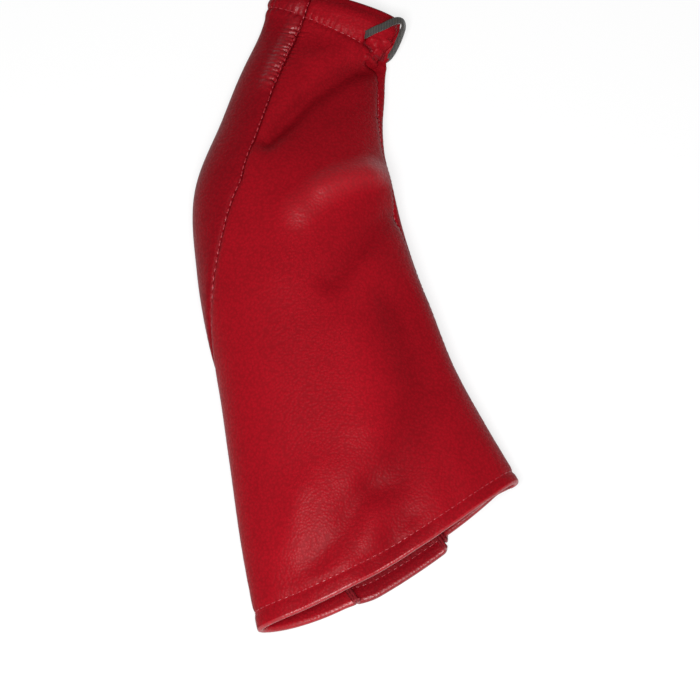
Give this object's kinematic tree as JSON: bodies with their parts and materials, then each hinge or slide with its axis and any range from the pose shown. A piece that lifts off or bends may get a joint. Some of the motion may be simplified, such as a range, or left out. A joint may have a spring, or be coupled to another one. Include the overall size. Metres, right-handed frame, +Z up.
{
  "type": "lever gaiter",
  "caption": "Sewn leather gaiter that covers a hand lever from its grip to the console, with an elastic band in the neck hem and a wide turned-in mouth.",
  "frame": {"origin": "on the surface on which the gaiter lies, below the middle of its overall length and width", "axes": "+Y from the mouth towards the neck, along the longest extent; +Z up from the surface, along the shortest extent"},
  "size_m": [0.1374, 0.2944, 0.039],
  "materials": {
    "leather": "pebble-grained, semi-gloss red",
    "thread": "bonded thread, dyed red",
    "elastic": "woven flat elastic, charcoal"
  },
  "bodies": {
    "root": {"front_panel": "leather", "spine_panel": "leather", "back_panel": "leather", "front_seam_stitching": "thread", "back_seam_stitching": "thread", "right_seam_stitching": "thread", "neck_hem_stitching": "thread", "mouth_hem_stitching": "thread", "elastic_band": "elastic", "elastic_join": "thread"}
  },
  "joints": []
}
